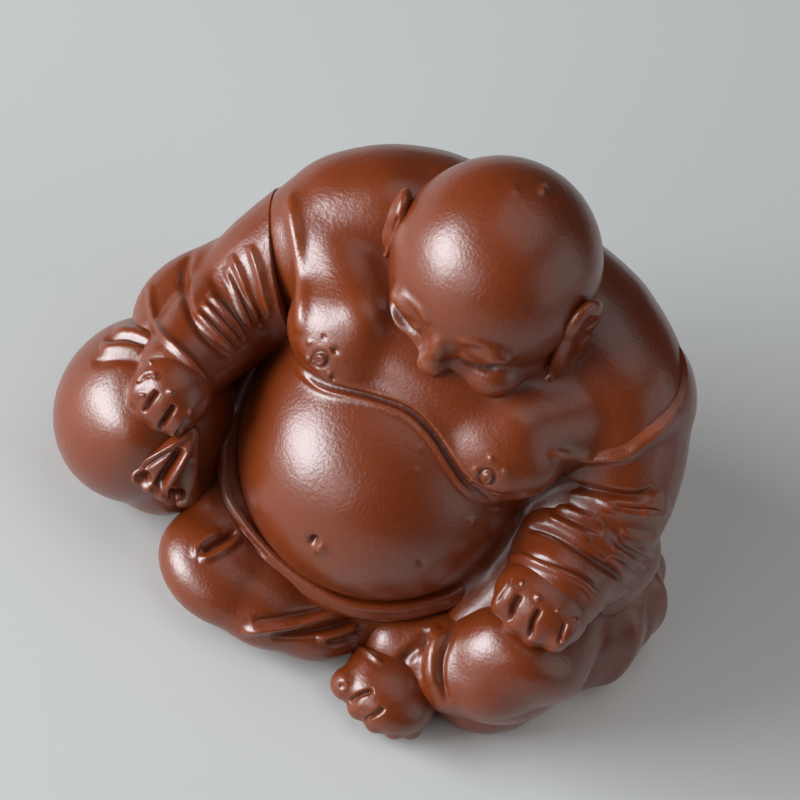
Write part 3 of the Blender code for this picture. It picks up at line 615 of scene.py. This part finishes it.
sleeves = dict(
    grain=0.26, blend=9, top=21.9, arm=17.3, elbow=15.0,
    right=dict(
        shoulder=(-18.0, 6.2, 34.9), arm=(-22.8, 0.4, 29.0), elbow=(-24.8, -5.0, 23.8),
        forearm=((-25.6, -12.0, 23.4), 12.8), cuff=((-25.8, -18.8, 23.2), 10.4),
        rim=(-24.6, 3.0, 30.0), facing=(-0.73, -0.36, -0.58),
        drape=(((-26.5, -2.0, 23.0), 14.0), ((-30.4, -6.5, 20.0), 11.8), ((-29.8, -12.5, 19.6), 9.6)),
        cuffLine=(
            (-36.5, -5.6), (-34.0, -8.6), (-31.5, -10.4), (-28.5, -10.9), (-25.0, -11.6), (-21.0, -12.8),
        ),
        ridges=(
            (((-28.6, 5.2), (-26.0, 3.3), (-23.2, 0.8), (-21.0, -1.0)), 0.55, 0.5),
            (((-29.8, 2.9), (-27.0, 1.2), (-24.0, -1.0), (-21.5, -2.8)), 0.5, 0.5),
            (((-29.6, 1.2), (-27.0, -0.6), (-24.0, -2.6), (-21.5, -4.0)), 0.5, 0.45),
            (((-29.5, -2.9), (-26.0, -3.7), (-22.0, -4.8)), 0.45, 0.5),
            (((-29.5, -4.2), (-26.0, -5.0), (-22.3, -5.9)), 0.45, 0.5),
            (((-29.5, -5.6), (-26.0, -6.3), (-22.0, -7.0)), 0.45, 0.45),
        ),
        creases=(
            (
                ((-34.2, 0.8), (-33.6, -2.0), (-32.0, -4.4), (-29.0, -6.6), (-26.0, -7.5), (-22.0, -8.1)),
                0.6, -0.6,
            ),
            (((-30.6, -0.8), (-27.0, -2.3), (-22.0, -4.3)), 0.6, -0.3),
        ),
    ),
    left=dict(
        shoulder=(19.5, 7.0, 36.3), arm=(25.6, 1.8, 30.0), elbow=(27.4, -2.8, 24.4),
        forearm=((26.7, -7.2, 23.2), 17.0), cuff=((27.0, -11.4, 23.2), 13.2),
        rim=(23.7, -2.8, 40.0), facing=(0.52, 0.27, -0.81),
        drape=(((30.6, -1.0, 22.0), 13.6), ((31.0, 0.0, 17.0), 13.6)),
        cuffLine=(
            (20.6, -8.6), (22.4, -7.4), (25.0, -6.8), (28.0, -6.1), (31.0, -5.7), (33.6, -6.5), (35.0, -8.0),
        ),
        ridges=(
            (
                (
                    (17.6, 5.3), (20.0, 6.6), (23.0, 8.3), (25.6, 10.6), (26.6, 13.2), (27.6, 16.0),
                    (28.2, 19.5),
                ), 0.7, 0.7,
            ),
            (((26.0, 3.4), (29.5, 5.0), (32.6, 6.6), (34.4, 8.4)), 0.8, 0.6),
            (((31.2, 5.8), (32.6, 7.4), (33.2, 9.4)), 0.8, 0.4),
            (((30.6, 2.4), (33.0, 3.2), (35.4, 4.8)), 0.5, 0.5),
            (((31.0, 1.3), (33.4, 1.7), (36.0, 2.2)), 0.4, 0.45),
            (((31.0, 0.1), (33.4, 0.2), (36.0, 0.4)), 0.4, 0.45),
            (((31.0, -1.2), (33.4, -1.2), (36.0, -1.5)), 0.4, 0.45),
            (((22.0, 0.4), (25.0, 1.1), (28.6, 2.0)), 0.5, 0.4),
            (((21.6, -1.4), (24.6, -1.0), (28.4, -0.5)), 0.5, 0.5),
        ),
        creases=(
            (((19.6, 2.4), (22.0, 3.4), (25.0, 4.6), (28.0, 6.0), (30.4, 7.6), (31.3, 9.6)), 0.6, -0.9),
            (((28.0, 4.4), (30.6, 5.8), (33.4, 7.6)), 0.4, -0.35),
            (((23.4, -0.3), (26.0, 0.3), (29.0, 1.0)), 0.4, -0.35),
            (
                ((20.8, -4.2), (22.4, -3.2), (25.0, -2.6), (29.0, -2.3), (33.0, -2.4), (36.4, -3.0)),
                0.5, -0.75,
            ),
            (((22.0, -7.0), (25.0, -6.2), (28.0, -5.5), (31.0, -5.1), (34.2, -5.9)), 0.35, -0.45),
        ),
    ),
)


def makeSleeve(name, node, arm):
    upper = (("shoulder", "top"), ("arm", "arm"), ("elbow", "elbow"))
    line = [(arm[at], sleeves[size]) for at, size in upper]
    lumps = coil(line + [arm["forearm"], arm["cuff"]]) + coil(list(arm["drape"]))
    piece = pressTogether(name, lumps, sleeves["grain"], sleeves["blend"])
    cutFlat(piece, arm["rim"], arm["facing"])
    soften(piece, 3)
    tool = Modelling(piece)
    tool.strokes(arm["creases"])
    tool.strokes(arm["ridges"])
    tool.strokes([(arm["cuffLine"], 0.55, 0.5)])
    finishPiece(piece, node)


makeSleeve("rightSleeve", "right_sleeve", sleeves["right"])
makeSleeve("leftSleeve", "left_sleeve", sleeves["left"])

# the hands: rounded backs, and fingers parted by slots

hands = dict(
    grain=0.2, blend=5, nod=10.0, finger=3.0, count=4, arch=2.2,
    knuckle=(-2.6, 1.6), bend=(-3.7, 0.5), tip=(-3.8, -1.2),
    right=dict(
        place=(-25.0, -21.6, 23.2), size=(10.2, 10.4, 9.6),
        slots=(
            (((-27.5, -16.6), (-27.6, -18.2), (-27.4, -20.0)), 0.32, -1.0),
            (((-24.7, -16.8), (-24.6, -18.6), (-24.5, -20.6)), 0.36, -1.1),
            (((-22.3, -17.2), (-22.0, -18.6), (-22.2, -20.2)), 0.32, -0.9),
            (((-30.3, -17.4), (-29.9, -16.0), (-29.0, -15.3)), 0.28, -0.4),
            (((-29.2, -18.4), (-28.4, -18.0)), 0.25, 0.25),
        ),
        specks=(
            ((-30.3, -14.2), 0.28, 0.3), ((-28.8, -15.4), 0.4, 0.35), ((-26.0, -15.8), 0.4, 0.35),
            ((-22.6, -16.4), 0.3, 0.3),
        ),
    ),
    left=dict(
        place=(26.8, -15.7, 23.2), size=(12.6, 10.0, 9.2),
        slots=(
            (((22.9, -10.2), (22.8, -12.2), (23.2, -14.2)), 0.26, -0.5),
            (((25.0, -11.4), (25.1, -13.2), (25.8, -15.3)), 0.32, -0.9),
            (((28.0, -11.4), (28.2, -13.4), (29.1, -15.5)), 0.32, -0.9),
            (((31.6, -11.0), (31.9, -12.4), (32.6, -13.8)), 0.28, -0.6),
        ),
        specks=(
            ((24.3, -10.1), 0.3, 0.3), ((27.0, -10.4), 0.4, 0.3), ((30.0, -10.4), 0.28, 0.3),
            ((32.6, -10.1), 0.35, 0.25),
        ),
    ),
)


def makeHand(name, node, hand):  # the outer fingers are drawn back by the arch
    turn = (hands["nod"], 0, 0)
    place = Matrix.LocRotScale(Vector(hand["place"]), Euler([math.radians(a) for a in turn]), None)
    lumps = lump(hand["place"], hand["size"], turn)
    pitch = (hand["size"][0] - 1.6 * hands["finger"]) / (hands["count"] - 1)
    for k in range(hands["count"]):
        x = (k - (hands["count"] - 1) / 2) * pitch
        back = hands["arch"] * (2 * x / hand["size"][0]) ** 2
        bends = (hands["knuckle"], hands["bend"], hands["tip"])
        curl = [place @ Vector((x, y + back, z + back / 2)) for y, z in bends]
        lumps += coil([(at, hands["finger"]) for at in curl])
    piece = pressTogether(name, lumps, hands["grain"], hands["blend"])
    tool = Modelling(piece)
    tool.strokes(hand["slots"])
    tool.dabs(hand["specks"])
    finishPiece(piece, node)


makeHand("rightHand", "right_hand", hands["right"])
makeHand("leftHand", "left_hand", hands["left"])

# the sack and its gathered mouth

sack = dict(
    grain=0.34, blend=12, mouthGrain=0.18, mouthBlend=6, pleatBulge=0.8,
    bag=((-27.2, -17.3, 12.0), (22.2, 24.6, 24.0)), sag=((-21.4, -16.9, 7.8), (14.2, 18.4, 15.6)),
    neck=(((-25.8, -20.0, 18.0), 12.0), ((-25.7, -22.4, 22.7), 6.0)),
    ridges=(
        (((-36.6, -13.8), (-34.6, -12.5), (-32.6, -12.0), (-30.6, -12.2)), 0.75, 0.55),
        (((-36.6, -16.6), (-34.2, -14.6), (-31.2, -13.2)), 0.8, 0.55),
        (((-36.8, -15.4), (-34.5, -13.5), (-31.4, -12.7)), 0.4, -0.5),
        (((-36.4, -18.6), (-34.2, -16.4), (-31.0, -14.6)), 0.6, -0.3),
    ),
    swellings=(((-27.0, -23.0), 4.0, 0.9),),
    mouthTop=((-20.2, -23.3, 20.7), 2.4),
    pleats=(
        ((-22.4, -27.8, 14.3), 2.6), ((-20.9, -27.8, 14.0), 2.4), ((-18.9, -27.0, 13.7), 2.8),
        ((-16.5, -24.9, 12.0), 2.8),
    ),
    slots=(
        (((-20.75, -20.8), (-20.75, -23.5), (-20.6, -26.8)), 0.5, -1.5),
        (((-21.6, -21.5), (-22.8, -24.2), (-23.4, -25.8)), 0.35, -0.45),
        (((-19.0, -20.8), (-18.3, -23.4), (-18.0, -25.2)), 0.7, -0.6),
        (((-21.2, -19.5), (-22.6, -22.8), (-24.0, -25.8)), 0.35, 0.4),
        (((-20.2, -19.6), (-19.7, -23.0), (-19.5, -26.4)), 0.5, 0.5),
        (((-18.9, -26.6), (-17.9, -26.0), (-16.9, -25.4)), 0.5, -1.3),
        (
            (
                (-24.2, -26.4), (-23.4, -27.8), (-22.2, -28.0), (-20.6, -27.5),
                (-18.8, -27.4), (-17.2, -26.9), (-16.0, -25.8),
            ), 0.4, 0.4,
        ),
    ),
    hollows=(((-22.7, -26.7), 0.65, -1.3), ((-22.0, -26.5), 0.5, -0.5)),
)


def makeSack():
    lumps = lump(*sack["bag"]) + lump(*sack["sag"]) + coil(list(sack["neck"]))
    piece = pressTogether("clothSack", lumps, sack["grain"], sack["blend"])
    setOnTable(piece)
    tool = Modelling(piece)
    tool.dabs(sack["swellings"])
    tool.strokes(sack["ridges"])
    finishPiece(piece, "cloth_sack")


def makeSackMouth():
    top, size = sack["mouthTop"]
    lumps = []
    for foot, thick in sack["pleats"]:
        middle = Vector(top).lerp(Vector(foot), 0.5) + Vector(viewBack) * sack["pleatBulge"]
        lumps += coil([(top, size), (middle, thick), (foot, thick)])
    piece = pressTogether("sackMouth", lumps, sack["mouthGrain"], sack["mouthBlend"])
    tool = Modelling(piece)
    tool.strokes(sack["slots"])
    tool.dabs(sack["hollows"])
    finishPiece(piece, "sack_mouth")


makeSack()
makeSackMouth()

# the legs, the foot and the robe round them

legs = dict(
    grain=0.3, blend=14,
    rightThigh=(((-15.0, -9.0, 7.0), 13.0), ((-11.2, -18.6, 5.6), 11.6)),
    rightLeg=(
        ((-7.5, -24.6, 4.6), (18.4, 16.4, 10.8)), ((-2.0, -24.2, 4.5), (18.0, 15.4, 10.6)),
        ((2.6, -22.6, 4.2), (18.0, 13.8, 9.8)), ((8.5, -19.8, 4.2), (10.0, 10.0, 9.0)),
    ),
    trouserFold=(((9.5, -19.6, 7.0), 3.8), ((4.8, -22.8, 2.6), 3.8)), foldShift=3.0,
    rightStrokes=(
        (((-9.1, -25.4), (-10.1, -27.6), (-11.2, -30.0)), 0.4, -0.9),
        (((-10.6, -26.6), (-11.7, -28.4), (-12.1, -30.0), (-11.2, -31.2)), 0.45, 0.4),
        (((-8.1, -25.8), (-8.9, -28.0), (-9.8, -29.9), (-11.0, -31.2)), 0.45, 0.45),
        (((8.6, -25.4), (5.6, -28.9), (3.0, -31.8), (0.4, -34.0), (-1.4, -35.6)), 0.55, 0.8),
        (((10.0, -25.4), (7.4, -28.9), (4.6, -31.8), (2.0, -34.0)), 0.45, -0.9),
        (((7.0, -25.6), (4.2, -28.8), (1.4, -31.6), (-1.0, -33.6)), 0.5, -0.45),
        (((10.4, -26.4), (8.8, -28.8), (6.9, -30.9)), 0.45, 0.7),
        (((11.4, -26.8), (9.9, -29.0), (8.4, -30.6)), 0.4, -0.5),
    ),
    leftLeg=(((31.0, 0.0, 9.0), 14.0), ((27.8, -17.6, 11.6), 15.6), ((23.6, -19.6, 8.6), 12.4)),
    ankle=(((21.0, -17.0, 7.0), 11.6), ((15.8, -19.0, 4.8), 10.2)),
    leftStrokes=(
        (((18.0, -15.0), (24.0, -16.2), (30.0, -17.0), (36.0, -17.5), (42.0, -18.0)), 3.4, 1.0),
        (((18.0, -24.6), (24.0, -24.4), (30.0, -23.8), (36.0, -22.8), (42.0, -22.0)), 3.4, -0.8),
        (((20.3, -18.5), (20.5, -21.0), (21.2, -24.0), (23.0, -26.5), (25.5, -28.2)), 0.5, -0.7),
        (((19.0, -20.5), (19.4, -23.0), (20.6, -25.5), (22.6, -27.6)), 0.8, 0.5),
        (((18.1, -21.5), (18.3, -24.0), (19.6, -26.7), (21.3, -28.2)), 0.4, -0.5),
        (((18.2, -22.0), (17.9, -24.4), (17.5, -27.4)), 0.7, -0.8),
    ),
    hemFront=((26.6, -9.0, 3.5), (20.4, 28.0, 14.0)), hemSide=((33.0, 4.0, 5.0), (20.6, 26.0, 24.0)),
    hemFolds=(
        (((0.0, 15.0), (-2.0, 8.0), (-3.0, 1.0)), 1.4, 0.7),
        (((6.0, 16.0), (7.0, 8.0), (8.0, 1.0)), 1.4, 0.8),
        (((11.0, 14.0), (13.0, 8.0), (14.0, 1.0)), 1.2, 0.6),
        (((3.0, 15.0), (2.5, 8.0), (2.5, 1.0)), 0.9, -0.6),
        (((9.0, 14.0), (10.0, 7.0), (10.5, 1.0)), 0.9, -0.5),
        (((-8.0, 9.0), (-10.0, 5.0), (-11.0, 1.0)), 1.1, 0.6),
    ),
)


def makeLegs():
    fold = []
    for shift in (0, legs["foldShift"]):
        fold += coil([(Vector(middle) + Vector((shift, 0, 0)), size) for middle, size in legs["trouserFold"]])
    folded = []
    for swelling in legs["rightLeg"]:
        folded += lump(*swelling)
    folded += fold + coil(list(legs["rightThigh"]))
    right = pressTogether("rightLeg", folded, legs["grain"], legs["blend"])
    setOnTable(right)
    Modelling(right).strokes(legs["rightStrokes"])
    finishPiece(right, "right_leg")
    raised = coil(list(legs["leftLeg"])) + coil(list(legs["ankle"]))
    left = pressTogether("leftLeg", raised, legs["grain"], legs["blend"])
    setOnTable(left)
    Modelling(left).strokes(legs["leftStrokes"])
    finishPiece(left, "left_leg")
    pooled = lump(*legs["hemFront"]) + lump(*legs["hemSide"])
    hem = pressTogether("robeHem", pooled, legs["grain"], legs["blend"])
    setOnTable(hem)
    Modelling(hem, fromLeft, (400, 5, 15)).strokes(legs["hemFolds"])
    setOnTable(hem)
    finishPiece(hem, "robe_hem")


foot = dict(
    grain=0.2, blend=3, sole=((18.0, -24.6, 3.6), (13.0, 12.0, 8.0), (0, 0, -20)),
    toes=(
        (((14.5, -25.4, 3.6), 4.8), ((13.3, -27.4, 2.9), 4.5)),
        (((16.8, -26.6, 3.2), 3.6), ((16.2, -28.9, 2.4), 3.4)),
        (((19.0, -27.0, 3.0), 3.4), ((18.9, -29.1, 2.2), 3.2)),
        (((21.0, -26.6, 2.8), 3.2), ((21.3, -28.3, 2.1), 3.0)),
        (((22.6, -25.6, 2.6), 3.0), ((23.1, -26.9, 2.0), 2.8)),
    ),
    strokes=(
        (((16.7, -32.0), (15.6, -33.4), (15.0, -35.0)), 0.3, -0.9),
        (((19.0, -33.0), (18.6, -34.4), (17.9, -35.8)), 0.28, -0.7),
        (((10.8, -29.8), (12.6, -28.6), (15.8, -28.7)), 0.35, 0.35),
    ),
    nails=(((13.0, -33.2), 0.8, 0.2), ((13.0, -33.9), 0.35, -0.3), ((16.3, -34.8), 0.5, 0.15)),
)


def makeFoot():
    lumps = lump(*foot["sole"])
    for toe in foot["toes"]:
        lumps += coil(list(toe))
    piece = pressTogether("leftFoot", lumps, foot["grain"], foot["blend"])
    setOnTable(piece)
    tool = Modelling(piece)
    tool.strokes(foot["strokes"])
    tool.dabs(foot["nails"])
    finishPiece(piece, "left_foot")


band = dict(
    grain=0.2, blend=3, thickness=3.2, tilt=32.0, fromAngle=-116, toAngle=88, bite=-0.9, steps=26,
    strokes=(
        (
            (
                (-18.4, -12.5), (-17.3, -16.5), (-13.6, -21.6), (-9.5, -23.8), (-4.0, -25.3),
                (2.0, -25.7), (8.0, -24.8), (13.0, -21.9), (17.0, -17.7), (18.6, -15.0),
            ), 0.6, 0.6,
        ),
        (((-15.6, -21.6), (-12.5, -23.8), (-8.5, -25.3), (-4.0, -26.0)), 0.3, -0.5),
    ),
)


def makeWaistband():  # a coil on a tilted ring round the belly
    middle, (width, depth, height) = trunk["belly"]
    slope = math.tan(math.radians(band["tilt"]))
    reach = 1 / math.hypot(2 / depth, 2 * slope / height)
    line = []
    for k in range(band["steps"] + 1):
        angle = math.radians(band["fromAngle"] + (band["toAngle"] - band["fromAngle"]) * k / band["steps"])
        forward = -math.cos(angle) * reach
        offset = Vector((math.sin(angle) * width / 2, forward, forward * slope))
        line.append((Vector(middle) + offset * (1 - band["bite"] / offset.length), band["thickness"]))
    piece = pressTogether("waistCoil", coil(line), band["grain"], band["blend"])
    Modelling(piece).strokes(band["strokes"])
    finishPiece(piece, "waistband")


makeLegs()
makeFoot()
makeWaistband()

# the base slab stays as it is, in the same clay
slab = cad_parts["base_slab"]
slab.data.materials.clear()
slab.data.materials.append(redClay)

# floor and light

stage = dict(
    floor=(0.78, 0.77, 0.75, 1), floorSize=3.0,
    window=dict(place=(-0.84, -0.55, 0.20), size=(0.72, 0.72), power=26.0, colour=(0.86, 0.95, 1.0)),
    front=dict(place=(-0.34, -0.95, 0.36), size=(0.5, 0.5), power=2.0, colour=(0.95, 0.98, 1.0)),
    fill=dict(place=(0.85, 0.15, 0.50), size=(1.0, 0.8), power=2.0, colour=(1.0, 0.97, 0.94)),
    ceiling=dict(place=(0.0, 0.15, 1.10), size=(1.0, 0.9), power=2.2, colour=(0.97, 0.98, 1.0)),
    sky=(0.80, 0.82, 0.86, 1), skyStrength=0.05,
)


def makeStage():
    bpy.ops.object.select_all(action="DESELECT")
    bpy.ops.mesh.primitive_plane_add(size=stage["floorSize"], location=(0, 0, -0.00005))
    floor = bpy.context.object
    floor.name = "floor"
    bpy.ops.object.transform_apply(location=True, rotation=True, scale=True)
    pale = bpy.data.materials.new("paleFloor")
    pale.use_nodes = True
    pale.node_tree.nodes["Principled BSDF"].inputs["Base Color"].default_value = stage["floor"]
    pale.node_tree.nodes["Principled BSDF"].inputs["Roughness"].default_value = 0.7
    floor.data.materials.append(pale)
    for name in ("window", "front", "fill", "ceiling"):
        made = stage[name]
        place = Vector(made["place"])
        turn = (Vector((0, 0, 0.025)) - place).to_track_quat("-Z", "Y").to_euler()
        bpy.ops.object.light_add(type="AREA", location=place, rotation=turn)
        lamp = bpy.context.object
        lamp.name = name
        lamp.data.shape = "RECTANGLE"
        lamp.data.size, lamp.data.size_y = made["size"]
        lamp.data.energy = made["power"]
        lamp.data.color = made["colour"]
    world = bpy.data.worlds.new("softSky")
    world.use_nodes = True
    world.node_tree.nodes["Background"].inputs["Color"].default_value = stage["sky"]
    world.node_tree.nodes["Background"].inputs["Strength"].default_value = stage["skyStrength"]
    bpy.context.scene.world = world
    bpy.context.scene.view_settings.view_transform = "Standard"


makeStage()
print("floor and light placed")
